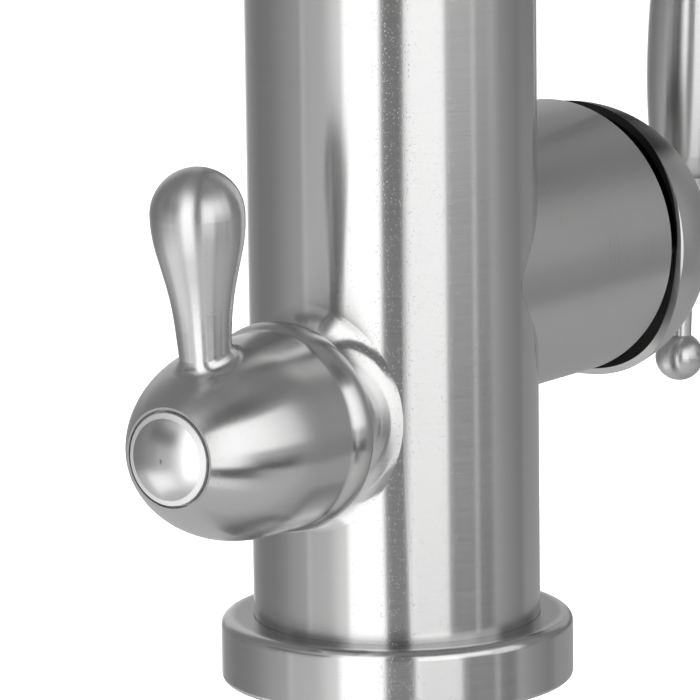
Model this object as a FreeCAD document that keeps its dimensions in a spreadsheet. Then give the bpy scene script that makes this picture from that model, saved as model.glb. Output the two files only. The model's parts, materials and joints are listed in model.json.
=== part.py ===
import FreeCAD, Part
import math
import os
from types import SimpleNamespace

import Sketcher

# Kitchen mixer tap with a hot and cold mixer on its right and a filtered-water valve on its left.
# Millimetres. Origin on the column's axis at the deck; +Z up, mixer towards +X, spout towards -Y.

# Driving dimensions, each written once
SIZES = {
    "fit_gap": 0.05,              # radial gap of a socket, a thread or a running fit
    "free_gap": 0.3,              # gap between pieces that pass each other
    # column, base and deck
    "column_dia": 45.0,
    "column_wall": 3.0,
    "column_height": 150.0,
    "ring_dia": 55.3,
    "ring_height": 10.0,
    "ring_lip": 3.0,              # ledge inside the ring that the column stands on
    "ring_round": 0.8,
    "ring_top_round": 1.5,
    "gasket_inner_dia": 46.0,
    "gasket_width": 2.5,
    "gasket_thick": 2.0,
    "deck_thick": 38.0,
    "shank_dia": 33.0,
    "shank_wall": 2.0,
    "shank_below": 56.0,
    "thread_pitch": 1.5,
    "thread_depth": 0.7,
    "washer_dia": 54.0,
    "washer_thick": 2.0,
    "clamp_gasket_thick": 3.0,
    "nut_flats": 41.0,
    "nut_height": 8.0,
    "nut_flange": 2.0,
    # inlet manifold and pipes
    "manifold_bottom": 14.0,
    "manifold_skirt": 8.0,        # depth that the shank screws in
    "manifold_thick": 12.0,
    "supply_socket_dia": 9.0,     # wall of an M10 x 1 socket
    "filter_socket_dia": 7.0,     # wall of an M8 x 1 socket
    "socket_depth": 8.0,
    "supply_x": 4.5,
    "supply_y": 7.5,
    "feed_x": 6.5,                # filter feed pipe, this far left of the axis
    "riser_gap": 0.8,             # between the filter riser and the column's bore
    "pipe_dia": 6.4,
    "pipe_wall": 0.8,
    "mixed_pipe_dia": 8.0,
    "pipe_seat": 3.0,
    # mixer stub and cartridge
    "mixer_z": 63.3,
    "stub_dia": 44.8,
    "stub_end": 46.1,
    "cartridge_dia": 35.0,
    "holder_wall": 1.7,
    "holder_back": 2.0,           # the holder starts this far left of the column's axis
    "holder_floor": 12.0,
    "holder_length": 44.0,
    "port_drop": 7.0,
    "port_rise": 8.0,
    "pipe_top_drop": 13.3,
    "mixed_seat_rise": 13.0,
    "housing_length": 26.0,
    "housing_wall": 2.0,
    "housing_base": 3.0,
    "housing_cover": 3.0,
    "cover_hole_dia": 18.4,
    "seal_thick": 1.5,
    "seal_width": 1.5,
    "disc_thick": 3.0,
    "moving_disc_dia": 22.0,
    "moving_disc_thick": 2.5,
    "carrier_dia": 19.0,
    "carrier_thick": 2.5,
    "pivot_x": 26.0,
    "pin_dia": 3.0,
    "pin_length": 28.0,
    "tail_arm": 5.3,
    "tail_ball_dia": 3.6,
    "tail_gap": 0.6,
    "stem_square": 8.0,
    "stem_front": 34.0,
    "rotor_slot_half": 6.5,
    "retaining_nut_thick": 6.0,
    "retaining_nut_bore": 25.0,
    # mixer handle, measured from the cartridge's pivot along the handle's own axis
    "rest_tilt": 3.6,             # degrees that the handle's nose hangs below level
    "dome_dia": 46.0,
    "dome_wall": 1.2,
    "dome_centre": 24.4,
    "dome_skirt": 1.9,
    "rim_chamfer": 0.3,
    "upper_relief": 100.0,        # radii of the saddle that keeps the rim off the stub's end
    "lower_relief": 36.0,
    "post_dia": 16.0,
    "post_back": 23.6,
    "nose_dia": 11.0,
    "nose_short": 5.8,            # the nose ends this far before the hub's centre
    "spigot_dia": 7.0,
    "spigot_length": 7.0,
    "hub_reach": 60.6,
    "hub_dia": 13.2,
    "lever_screw_dia": 3.2,
    "screw_head_dia": 6.0,
    "screw_head_thick": 2.0,
    "set_screw_dia": 4.0,
    "set_screw_length": 6.0,
    "set_screw_at": 27.0,
    "belly_dia": 14.0,
    "belly_at": 29.0,
    "taper_round": 170.0,
    "taper_angle": 9.0,
    "lower_round": 128.0,
    "lower_angle": 7.6,
    "shoulder_round": 6.0,
    "shoulder_angle": 50.0,
    "bead_dia": 9.6,
    "bead_width": 1.4,
    "bead_at": 5.6,
    "finial_ball_dia": 8.16,
    "finial_reach": 22.2,
    "finial_neck_dia": 3.8,
    "finial_collar_dia": 6.4,
    "finial_seat": 5.8,
    "stud_dia": 3.0,
    # filtered-water valve, measured from the column's axis towards -X
    "filter_z": 44.6,
    "boss_dia": 22.7,
    "boss_end": 29.3,
    "boss_fillet": 6.3,
    "block_dia": 19.0,
    "block_start": 2.5,
    "block_end": 26.5,
    "block_bore_dia": 14.0,
    "floor_step": 5.5,            # the valve's seat, this far inside the riser
    "seat_hole_dia": 4.4,
    "seat_seal_thick": 1.5,
    "seat_seal_dia": 12.0,
    "valve_disc_dia": 11.1,
    "valve_disc_thick": 2.5,
    "disc_hole_dia": 2.8,
    "disc_hole_at": 2.8,
    "flange_thick": 2.5,
    "headwork_wall": 1.35,
    "headwork_flange_dia": 17.0,
    "headwork_flange": 4.0,
    "headwork_nose_dia": 10.0,
    "headwork_nose": 2.5,
    "spindle_dia": 6.0,
    "spindle_end": 52.0,
    "oring_section": 1.3,
    "oring_step": 3.35,           # the spindle's ring, past the headwork's shoulder
    # filter handle
    "hub_back": 28.6,
    "lip_dia": 32.4,
    "lip_at": 30.2,
    "lip_round": 4.0,
    "lip_angle": 35.0,
    "lip_chamfer": 0.3,
    "bell_dia": 30.3,
    "bell_start": 41.0,
    "tip_dia": 15.5,
    "tip_at": 58.8,
    "hub_hollow_dia": 26.0,
    "hub_hollow_depth": 11.4,
    "index_front": 59.1,
    "index_dia": 14.0,
    "index_seat": 56.0,
    "index_foot": 1.2,
    "index_foot_dia": 14.7,       # fills the pocket; above it the seam round the cap stays open
    "index_ring": 0.81,
    "index_bevel": 0.21,
    "index_edge": 0.15,
    "index_rise": 1.7,
    "handle_screw_dia": 3.2,
    "handle_screw_head_dia": 6.4,
    "handle_screw_head": 2.1,
    "handle_screw_seat": 53.6,
    "handle_screw_grip": 10.0,
    "lever_x": 48.6,
    "lever_lean": 3.3,
    "lever_root": 8.0,
    "bulb_dia": 14.2,
    "bulb_at": 35.4,
    "bulb_round": 24.0,
    "bulb_angle": 14.0,
    "bulb_taper": 3.7,            # length of the straight taper under the bulb
    "neck_round": 46.0,
    "neck_angle": 4.5,
    "root_fillet": 2.2,
    # spout and its swivel
    "insert_depth": 46.0,         # the insert's underside, below the column's top
    "insert_floor": 10.0,
    "insert_below": 4.0,          # the insert's top, below the column's top
    "cup_dia": 28.4,
    "nipple_dia": 9.0,
    "nipple_height": 8.0,
    "nipple_socket": 5.0,
    "channel_rise": 6.0,
    "channel_dia": 4.0,
    "cup_port_x": 10.0,
    "spout_dia": 25.0,
    "spout_wall": 2.0,
    "tail_rise": 10.0,            # the tail ends this far above the cup's floor
    "tail_bore_dia": 16.0,
    "tail_spigot": 20.0,
    "bush_height": 6.0,
    "bush_rise": 1.0,             # lower bush above the tail's end
    "bush_gap": 8.0,              # room between the bushes for the two rings
    "oring_spacing": 3.6,
    "spout_oring_section": 2.8,
    "cap_height": 14.0,
    "cap_skirt": 3.8,
    "cap_band": 1.5,
    "cap_neck_dia": 32.0,
    "cap_neck": 3.5,
    "grub_rise": 4.0,             # grub screw above the column's top
    "grub_dia": 4.0,
    "grub_depth": 1.2,
    "collar_dia": 31.0,
    "collar_height": 6.0,
    "collar_round": 2.0,
    "spout_rise": 97.7,           # straight run up to the bend
    "bend_radius": 95.0,
    "drop": 25.0,
    "inner_tube_dia": 6.0,
    "inner_tube_wall": 0.8,
    # outlet
    "nozzle_dia": 27.0,
    "nozzle_length": 18.0,
    "nozzle_bore_dia": 22.4,
    "nozzle_ledge": 5.0,
    "nozzle_spigot": 9.0,
    "nozzle_spigot_wall": 1.3,
    "nozzle_round": 1.2,
    "aerator_recess": 1.0,
    "aerator_height": 9.0,
    "aerator_rim": 1.4,
    "aerator_plate": 2.0,
    "aerator_plate_at": 2.0,
    "aerator_hole_dia": 1.8,
    "aerator_holes": 16,
    "outlet_tip_dia": 8.0,
    "outlet_tip_length": 12.0,
    "outlet_tip_socket": 4.0,
}

doc = FreeCAD.newDocument("KitchenTap")
sheet = doc.addObject("Spreadsheet::Sheet", "sizes")
for row, (alias, number) in enumerate(SIZES.items(), 1):
    sheet.set(f"A{row}", alias)
    sheet.set(f"B{row}", str(number))
    sheet.setAlias(f"B{row}", alias)
doc.recompute()


class Size:
    """A number together with the sheet expression that gives it."""

    def __init__(self, value, text):
        self.value = value
        self.text = text

    def __add__(self, other):
        other = as_size(other)
        return Size(self.value + other.value, f"({self.text} + {other.text})")

    def __radd__(self, other):
        return as_size(other) + self

    def __sub__(self, other):
        other = as_size(other)
        return Size(self.value - other.value, f"({self.text} - {other.text})")

    def __rsub__(self, other):
        return as_size(other) - self

    def __mul__(self, other):
        other = as_size(other)
        return Size(self.value * other.value, f"({self.text} * {other.text})")

    def __rmul__(self, other):
        return as_size(other) * self

    def __truediv__(self, other):
        other = as_size(other)
        return Size(self.value / other.value, f"({self.text} / {other.text})")

    def __neg__(self):
        return Size(-self.value, f"(0 - {self.text})")


def as_size(item):
    if isinstance(item, Size):
        return item
    return Size(float(item), f"({float(item)})")


def root(item):
    return Size(math.sqrt(item.value), f"sqrt({item.text})")


def sine(angle):
    return Size(math.sin(math.radians(angle.value)), f"sin({angle.text})")


def cosine(angle):
    return Size(math.cos(math.radians(angle.value)), f"cos({angle.text})")


def tangent(angle):
    return Size(math.tan(math.radians(angle.value)), f"tan({angle.text})")


def other_side(long_side, side):
    """Third side of a right triangle."""
    return root(long_side * long_side - side * side)


def arc_radius(run, rise):
    """Radius of an arc that starts along the run and has moved by rise at its end."""
    return (run * run + rise * rise) / (2 * rise)


d = SimpleNamespace(**{alias: Size(float(number), f"sizes.{alias}") for alias, number in SIZES.items()})

# Values that several pieces share
column_r = d.column_dia / 2
column_bore_r = column_r - d.column_wall
inner_r = column_bore_r - d.fit_gap               # pieces pressed into the column
shank_r = d.shank_dia / 2
manifold_floor = d.manifold_bottom + d.manifold_skirt
manifold_top = manifold_floor + d.manifold_thick
pipe_r = d.pipe_dia / 2
pipe_bore_r = pipe_r - d.pipe_wall
riser_x = column_bore_r - d.riser_gap - pipe_r     # this far left of the axis
mixed_r = d.mixed_pipe_dia / 2
mixed_bore_r = mixed_r - d.pipe_wall
pipe_foot = manifold_top - d.pipe_seat
cartridge_r = d.cartridge_dia / 2
holder_bore_r = cartridge_r + d.fit_gap
holder_r = holder_bore_r + d.holder_wall
holder_front = d.holder_length - d.holder_back
seat_x = d.holder_floor - d.holder_back           # floor that the cartridge stands on
housing_bore_r = cartridge_r - d.housing_wall
fixed_disc_x = seat_x + d.housing_base
moving_disc_x = fixed_disc_x + d.disc_thick + d.fit_gap
carrier_x = moving_disc_x + d.moving_disc_thick
rotor_x = carrier_x + d.carrier_thick + d.free_gap
housing_front = seat_x + d.housing_length
cover_x = housing_front - d.housing_cover
handle_angle = 90 + d.rest_tilt                   # the handle's axis leaves +X by the rest tilt
nose_end = d.hub_reach - d.nose_short
hub_x = d.pivot_x + d.hub_reach * cosine(d.rest_tilt)
hub_z = d.mixer_z - d.hub_reach * sine(d.rest_tilt)
spindle_r = d.spindle_dia / 2
block_floor = riser_x - d.floor_step
seal_end = block_floor + d.seat_seal_thick
valve_moving_at = seal_end + d.valve_disc_thick + d.fit_gap
flange_at = valve_moving_at + d.valve_disc_thick
valve_shoulder = flange_at + d.flange_thick + d.free_gap
oring_at = valve_shoulder + d.oring_step
chamber_r = d.valve_disc_dia / 2 + d.fit_gap
cup_r = d.cup_dia / 2
insert_bottom = d.column_height - d.insert_depth
insert_top = d.column_height - d.insert_below
cup_floor = insert_bottom + d.insert_floor
tail_bottom = cup_floor + d.tail_rise
lower_bush_at = tail_bottom + d.bush_rise
upper_bush_at = lower_bush_at + d.bush_height + d.bush_gap
upper_oring_at = upper_bush_at - (d.bush_gap - d.oring_spacing) / 2
lower_oring_at = upper_oring_at - d.oring_spacing
grub_z = d.column_height + d.grub_rise
spout_r = d.spout_dia / 2
spout_bore_r = spout_r - d.spout_wall
cap_top = d.column_height + d.cap_height
spout_start = cap_top + d.free_gap
bend_start = spout_start + d.spout_rise
spout_end = bend_start - d.drop
reach = 2 * d.bend_radius
nozzle_top = spout_end - d.fit_gap
nozzle_bottom = nozzle_top - d.nozzle_length
ledge = nozzle_top - d.nozzle_ledge
aerator_bottom = nozzle_bottom + d.aerator_recess
inner_tube_r = d.inner_tube_dia / 2
tip_top = aerator_bottom + d.outlet_tip_length

# Turns that take a piece's own Z axis to each direction
WAYS = {
    "+Z": ((0, 0, 1), 0),
    "-Z": ((1, 0, 0), 180),
    "+X": ((0, 1, 0), 90),
    "-X": ((0, 1, 0), -90),
    "+Y": ((1, 0, 0), -90),
    "-Y": ((1, 0, 0), 90),
}
pieces = []


def bind(thing, prop, item):
    """Set a property to a size, tied to the sheet where the size comes from it."""
    item = as_size(item)
    if "sizes." in item.text:
        thing.setExpression(prop, item.text)


def place(thing, x=0, y=0, z=0, way="+Z", angle=None):
    """Put a piece or feature at a point, with its own Z axis along way, or turned about Y by angle."""
    spot = [as_size(item) for item in (x, y, z)]
    axis, turn = WAYS[way]
    if angle is not None:
        axis, turn = (0, 1, 0), angle.value
    thing.Placement = FreeCAD.Placement(
        FreeCAD.Vector(*[item.value for item in spot]), FreeCAD.Rotation(FreeCAD.Vector(*axis), turn)
    )
    for letter, item in zip("xyz", spot):
        bind(thing, f"Placement.Base.{letter}", item)
    if angle is not None:
        bind(thing, "Placement.Rotation.Angle", angle)


def new_body(label):
    body = doc.addObject("PartDesign::Body", label)
    body.Label = label
    pieces.append(body)
    return body


def new_sketch(body, role, name):
    plane = next(item for item in body.Origin.OriginFeatures if item.Role == role)
    sketch = body.newObject("Sketcher::SketchObject", f"{body.Name}_{name}")
    sketch.AttachmentSupport = (plane, [""])
    sketch.MapMode = "FlatFace"
    return sketch


def bulge(radius):
    """Edge to the next corner is an arc whose centre lies inside the outline."""
    return SimpleNamespace(radius=as_size(radius), inside=True)


def hollow(radius):
    """Edge to the next corner is an arc whose centre lies outside the outline."""
    return SimpleNamespace(radius=as_size(radius), inside=False)


def arc_between(start, end, radius, inside):
    """Short arc from start to end with its centre on the left if inside, else on the right."""
    chord = end - start
    rise = math.sqrt(max(radius**2 - (chord.Length / 2) ** 2, 0.0))
    left = FreeCAD.Vector(-chord.y, chord.x, 0).normalize()
    centre = (start + end) / 2 + left * (rise if inside else -rise)
    first, last = (start, end) if inside else (end, start)
    circle = Part.Circle(centre, FreeCAD.Vector(0, 0, 1), radius)
    angles = [math.atan2(point.y - centre.y, point.x - centre.x) for point in (first, last)]
    return Part.ArcOfCircle(circle, *angles)


def draw(sketch, outline, closed=True):
    """Draw corners, taken anticlockwise, joined by lines or by the arcs listed between them."""
    corners, arcs = [], {}
    for item in outline:
        if isinstance(item, tuple):
            corners.append((as_size(item[0]), as_size(item[1])))
        else:
            arcs[len(corners) - 1] = item
    points = [FreeCAD.Vector(x.value, y.value, 0) for x, y in corners]
    count = len(corners) if closed else len(corners) - 1
    edges, ends, rules, ties = [], [], [], []
    for index in range(count):
        start, end = points[index], points[(index + 1) % len(points)]
        arc = arcs.get(index)
        if arc is None:
            edges.append(Part.LineSegment(start, end))
        else:
            edges.append(arc_between(start, end, arc.radius.value, arc.inside))
        ends.append((1, 2) if arc is None or arc.inside else (2, 1))
    for index in range(count if closed else count - 1):
        following = (index + 1) % count
        rules.append(Sketcher.Constraint("Coincident", index, ends[index][1], following, ends[following][0]))
    for index, (x, y) in enumerate(corners):
        edge, end = (index, ends[index][0]) if index < count else (count - 1, ends[-1][1])
        for kind, item in (("DistanceX", x), ("DistanceY", y)):
            ties.append((len(rules), item))
            rules.append(Sketcher.Constraint(kind, -1, 1, edge, end, item.value))
    for index, arc in arcs.items():
        ties.append((len(rules), arc.radius))
        rules.append(Sketcher.Constraint("Radius", index, arc.radius.value))
    sketch.addGeometry(edges, False)
    sketch.addConstraint(rules)
    for rule, item in ties:
        bind(sketch, f"Constraints[{rule}]", item)


def turn_outline(body, outline, axis="V_Axis", name="Outline", plane="XZ_Plane"):
    sketch = new_sketch(body, plane, name)
    draw(sketch, outline)
    turn = body.newObject("PartDesign::Revolution", f"{body.Name}_{name}Turn")
    turn.Profile = sketch
    turn.ReferenceAxis = (sketch, [axis])
    turn.Angle = 360
    return sketch


def turned(label, outline, plane="XZ_Plane"):
    """A piece turned about its own Z axis from (radius, height) corners."""
    body = new_body(label)
    turn_outline(body, outline, plane=plane)
    return body


def tube(label, outer, bore, low, high):
    return turned(label, [(bore, low), (outer, low), (outer, high), (bore, high)])


def rod(body, kind, name, radius, length, x=0, y=0, z=0, way="+Z"):
    """Cylinder added to or cut from a body, starting at a point and running along way."""
    part = body.newObject(f"PartDesign::{kind}Cylinder", f"{body.Name}_{name}")
    radius, length = as_size(radius), as_size(length)
    part.Radius, part.Height = radius.value, length.value
    bind(part, "Radius", radius)
    bind(part, "Height", length)
    place(part, x, y, z, way)
    return part


def drill(body, name, radius, length, x=0, y=0, z=0, way="+Z"):
    return rod(body, "Subtractive", name, radius, length, x, y, z, way)


def block(body, kind, name, sides, x, y, z):
    """Box added to or cut from a body, centred on x and y, standing on z."""
    part = body.newObject(f"PartDesign::{kind}Box", f"{body.Name}_{name}")
    sides = [as_size(side) for side in sides]
    for prop, side in zip(("Length", "Width", "Height"), sides):
        setattr(part, prop, side.value)
        bind(part, prop, side)
    place(part, x - sides[0] / 2, y - sides[1] / 2, z)
    return part


def hex_socket(body, radius, depth, z):
    """Six-sided key recess in the top of a screw."""
    part = body.newObject("PartDesign::SubtractivePrism", f"{body.Name}_Key")
    radius, depth = as_size(radius), as_size(depth)
    part.Polygon = 6
    part.Circumradius, part.Height = radius.value, depth.value
    bind(part, "Circumradius", radius)
    bind(part, "Height", depth)
    place(part, 0, 0, z)


def fillet_where(body, name, radius, belongs):
    """Round the edges of the body's last feature whose every point passes the test."""
    doc.recompute()
    base = body.Tip
    chosen = []
    for index, edge in enumerate(base.Shape.Edges, 1):
        if not edge.Degenerated and all(belongs(point) for point in edge.discretize(9)):
            chosen.append(f"Edge{index}")
    part = body.newObject("PartDesign::Fillet", f"{body.Name}_{name}")
    part.Base = (base, chosen)
    part.Radius = radius.value
    bind(part, "Radius", radius)


def near(value, wanted):
    return abs(value - wanted) < 0.01


# Base and column

def make_base_ring():
    ring_r = d.ring_dia / 2
    groove_in = d.gasket_inner_dia / 2
    groove_out = groove_in + d.gasket_width
    bore_r = column_r + d.fit_gap
    lip_r = shank_r + d.free_gap
    turned("base_ring", [
        (lip_r, 0), (groove_in, 0), (groove_in, d.gasket_thick), (groove_out, d.gasket_thick), (groove_out, 0),
        (ring_r - d.ring_round, 0), bulge(d.ring_round), (ring_r, d.ring_round),
        (ring_r, d.ring_height - d.ring_top_round), bulge(d.ring_top_round),
        (ring_r - d.ring_top_round, d.ring_height),
        (bore_r, d.ring_height), (bore_r, d.ring_lip), (lip_r, d.ring_lip),
    ])
    tube("base_gasket", groove_out, groove_in, 0, d.gasket_thick)


def make_column():
    body = new_body("body_column")
    boss_r = d.boss_dia / 2
    length = d.column_height - d.ring_lip
    rod(body, "Additive", "Shaft", column_r, length, z=d.ring_lip)
    rod(body, "Additive", "Boss", boss_r, d.boss_end, z=d.filter_z, way="-X")

    def on_boss_root(point):
        from_boss_axis = math.hypot(point.y, point.z - d.filter_z.value)
        on_column = near(math.hypot(point.x, point.y), column_r.value)
        return point.x < 0 and on_column and near(from_boss_axis, boss_r.value)

    fillet_where(body, "BossRoot", d.boss_fillet, on_boss_root)
    drill(body, "Bore", column_bore_r, length, z=d.ring_lip)
    holder_start = d.holder_back + d.free_gap
    drill(body, "StubBore", holder_r + d.fit_gap, d.stub_end + holder_start, x=-holder_start, z=d.mixer_z, way="+X")
    drill(body, "BossBore", d.block_dia / 2 + d.fit_gap, d.boss_end, z=d.filter_z, way="-X")

    stub = new_body("mixer_stub")
    stub_r = d.stub_dia / 2
    rod(stub, "Additive", "Tube", stub_r, d.stub_end, z=d.mixer_z, way="+X")
    drill(stub, "Cope", column_r, 4 * stub_r, z=d.mixer_z - 2 * stub_r)
    drill(stub, "Bore", holder_r + d.fit_gap, d.stub_end, z=d.mixer_z, way="+X")


def make_deck_fixing():
    shank = turned("threaded_shank", [
        (shank_r - d.shank_wall, -d.shank_below), (shank_r, -d.shank_below),
        (shank_r, manifold_floor), (shank_r - d.shank_wall, manifold_floor),
    ])
    first = d.thread_pitch - d.shank_below
    sketch = new_sketch(shank, "XZ_Plane", "Thread")
    half = d.thread_pitch * 0.4
    draw(sketch, [(shank_r - d.thread_depth, first), (shank_r + d.free_gap, first - half),
                  (shank_r + d.free_gap, first + half)])
    groove = shank.newObject("PartDesign::Groove", "Shank_Thread")
    groove.Profile = sketch
    groove.ReferenceAxis = (sketch, ["V_Axis"])
    groove.Angle = 360
    turns = int((d.shank_below.value - 4 * d.thread_pitch.value) / d.thread_pitch.value)
    pattern = shank.newObject("PartDesign::LinearPattern", "Shank_ThreadTurns")
    pattern.Originals = [groove]
    pattern.Direction = (sketch, ["V_Axis"])
    pattern.Occurrences = turns
    pattern.Length = d.thread_pitch.value * (turns - 1)
    bind(pattern, "Length", d.thread_pitch * (turns - 1))
    shank.Tip = pattern
    washer_r = d.washer_dia / 2
    hole_r = shank_r + d.free_gap
    gasket_low = -(d.deck_thick + d.clamp_gasket_thick)
    washer_low = gasket_low - d.washer_thick
    tube("clamp_gasket", washer_r, hole_r, gasket_low, -d.deck_thick)
    tube("clamp_washer", washer_r, hole_r, washer_low, gasket_low)
    nut = new_body("back_nut")
    rod(nut, "Additive", "Flange", d.nut_flats / 2 + d.nut_flange, d.nut_flange, z=washer_low - d.nut_flange)
    prism = nut.newObject("PartDesign::AdditivePrism", "Nut_Hexagon")
    corner_r = d.nut_flats / root(as_size(3))
    prism.Polygon = 6
    prism.Circumradius, prism.Height = corner_r.value, d.nut_height.value
    bind(prism, "Circumradius", corner_r)
    bind(prism, "Height", d.nut_height)
    place(prism, z=washer_low - d.nut_flange - d.nut_height)
    depth = d.nut_flange + d.nut_height
    drill(nut, "Thread", shank_r + d.fit_gap, depth, z=washer_low - depth)


def make_manifold_and_pipes():
    bore_r = shank_r + d.fit_gap
    manifold = turned("inlet_manifold", [
        (bore_r, d.manifold_bottom), (inner_r, d.manifold_bottom), (inner_r, manifold_top),
        (0, manifold_top), (0, manifold_floor), (bore_r, manifold_floor),
    ])
    ways_in = [
        ("Hot", d.supply_socket_dia / 2, d.supply_x, d.supply_y),
        ("Cold", d.supply_socket_dia / 2, d.supply_x, -d.supply_y),
        ("Filter", d.filter_socket_dia / 2, -d.feed_x, 0),
    ]
    for name, socket_r, x, y in ways_in:
        drill(manifold, f"{name}Socket", socket_r, d.socket_depth, x, y, manifold_floor)
        drill(manifold, f"{name}Way", pipe_bore_r, d.manifold_thick, x, y, manifold_floor)
        drill(manifold, f"{name}Seat", pipe_r + d.fit_gap, d.pipe_seat, x, y, pipe_foot)
    supply_top = d.mixer_z - d.pipe_top_drop
    for label, y in (("hot_pipe", d.supply_y), ("cold_pipe", -d.supply_y)):
        place(tube(label, pipe_r, pipe_bore_r, pipe_foot, supply_top), d.supply_x, y)
    feed_top = d.filter_z - d.block_dia / 2 + d.pipe_seat
    place(tube("filter_feed_pipe", pipe_r, pipe_bore_r, pipe_foot, feed_top), -d.feed_x)
    riser_foot = d.filter_z + d.block_bore_dia / 2 + d.free_gap
    insert_seat = insert_bottom + d.pipe_seat
    place(tube("filter_riser", pipe_r, pipe_bore_r, riser_foot, insert_seat), -riser_x)
    mixed_foot = d.mixer_z + d.mixed_seat_rise
    place(tube("mixed_pipe", mixed_r, mixed_bore_r, mixed_foot, insert_seat), d.supply_x)


# Mixer cartridge; these pieces have their own Z axis along +X, and their own X axis downwards

def make_cartridge():
    holder = turned("cartridge_holder", [
        (0, -d.holder_back), (holder_r, -d.holder_back), (holder_r, holder_front),
        (holder_bore_r, holder_front), (holder_bore_r, seat_x), (0, seat_x),
    ])
    for name, y in (("Hot", d.supply_y), ("Cold", -d.supply_y)):
        drill(holder, f"{name}Seat", pipe_r + d.fit_gap, holder_r - d.pipe_top_drop,
              holder_r, y, d.supply_x, "-X")
        drill(holder, f"{name}Way", pipe_bore_r, holder_r - d.port_drop, holder_r, y, d.supply_x, "-X")
        drill(holder, f"{name}Port", pipe_bore_r, seat_x - d.supply_x, d.port_drop, y, d.supply_x)
    drill(holder, "MixedSeat", mixed_r + d.fit_gap, holder_r - d.mixed_seat_rise,
          -holder_r, 0, d.supply_x, "+X")
    drill(holder, "MixedWay", mixed_bore_r, holder_r - d.port_rise, -holder_r, 0, d.supply_x, "+X")
    drill(holder, "MixedPort", mixed_bore_r, seat_x - d.supply_x, -d.port_rise, 0, d.supply_x)
    place(holder, z=d.mixer_z, way="+X")

    ports = [
        ("hot", pipe_bore_r, d.port_drop, d.supply_y),
        ("cold", pipe_bore_r, d.port_drop, -d.supply_y),
        ("mixed", mixed_bore_r, -d.port_rise, 0),
    ]
    cover_hole_r = d.cover_hole_dia / 2
    housing = turned("cartridge_housing", [
        (0, seat_x), (cartridge_r, seat_x), (cartridge_r, housing_front), (cover_hole_r, housing_front),
        (cover_hole_r, cover_x), (housing_bore_r, cover_x), (housing_bore_r, fixed_disc_x), (0, fixed_disc_x),
    ])
    disc = turned("fixed_disc", [
        (0, fixed_disc_x), (housing_bore_r - d.fit_gap, fixed_disc_x),
        (housing_bore_r - d.fit_gap, fixed_disc_x + d.disc_thick), (0, fixed_disc_x + d.disc_thick),
    ])
    seal_low = fixed_disc_x - d.seal_thick
    for name, radius, x, y in ports:
        seal_r = radius + d.seal_width
        drill(housing, f"{name}Port", radius, d.housing_base, x, y, seat_x)
        drill(housing, f"{name}Seal", seal_r + d.fit_gap, d.seal_thick, x, y, seal_low)
        drill(disc, f"{name}Port", radius, d.disc_thick, x, y, fixed_disc_x)
        place(tube(f"port_seal_{name}", seal_r, radius, 0, d.seal_thick), seal_low, y, d.mixer_z - x, "+X")
    place(housing, z=d.mixer_z, way="+X")
    place(disc, z=d.mixer_z, way="+X")

    nut_end = housing_front + d.retaining_nut_thick
    nut = tube("cartridge_nut", holder_bore_r - d.fit_gap, d.retaining_nut_bore / 2, housing_front, nut_end)
    place(nut, z=d.mixer_z, way="+X")

    rotor_r = housing_bore_r - d.fit_gap
    rotor_front = cover_x - d.free_gap
    rotor = turned("stem_carrier", [(0, rotor_x), (rotor_r, rotor_x), (rotor_r, rotor_front), (0, rotor_front)])
    slot_sides = (2 * d.rotor_slot_half, d.stem_square + 2 * d.free_gap, rotor_front - rotor_x)
    block(rotor, "Subtractive", "Slot", slot_sides, 0, 0, rotor_x)
    drill(rotor, "PinHole", d.pin_dia / 2, d.pin_length, 0, -d.pin_length / 2, d.pivot_x, "+Y")
    place(rotor, z=d.mixer_z, way="+X")
    pin = plain_rod("pivot_pin", d.pin_dia / 2, d.pin_length)
    place(pin, d.pivot_x, -d.pin_length / 2, d.mixer_z, "+Y")

    tail_rise = d.tail_arm * sine(d.rest_tilt)
    moving_r = d.moving_disc_dia / 2
    moving = turned("moving_disc", [
        (0, moving_disc_x), (moving_r, moving_disc_x), (moving_r, carrier_x), (0, carrier_x),
    ])
    recess = (d.port_drop + d.port_rise - 2 * mixed_bore_r + pipe_r, 2 * d.supply_y, d.moving_disc_thick / 2)
    block(moving, "Subtractive", "Mixing", recess, 0, 0, moving_disc_x)
    place(moving, z=d.mixer_z + tail_rise, way="+X")
    carrier_end = carrier_x + d.carrier_thick
    socket_r = d.tail_ball_dia / 2 + d.tail_gap
    carrier = tube("disc_carrier", d.carrier_dia / 2, socket_r, carrier_x, carrier_end)
    place(carrier, z=d.mixer_z + tail_rise, way="+X")


def plain_rod(label, radius, length):
    return turned(label, [(0, 0), (radius, 0), (radius, length), (0, length)])


# Mixer handle; its pieces' own Z axis runs out along the handle from the cartridge's pivot

def put_on_handle(body):
    place(body, d.pivot_x, 0, d.mixer_z, angle=handle_angle)


def make_stem():
    ball_r = d.tail_ball_dia / 2
    neck_r = ball_r * 0.8
    waist_r = d.stem_square / 2 - d.fit_gap
    body = turned("cartridge_stem", [
        (0, -(d.tail_arm + ball_r)), bulge(ball_r), (ball_r, -d.tail_arm), bulge(ball_r),
        (neck_r, other_side(ball_r, neck_r) - d.tail_arm), (neck_r, -waist_r), (waist_r, -waist_r),
        (waist_r, waist_r), (0, waist_r),
    ])
    sides = (d.stem_square, d.stem_square, d.stem_front - waist_r / 2)
    block(body, "Additive", "Square", sides, 0, 0, waist_r / 2)
    drill(body, "PinHole", d.pin_dia / 2 + d.fit_gap, 2 * d.stem_square, 0, -d.stem_square, 0, "+Y")
    put_on_handle(body)


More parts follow.
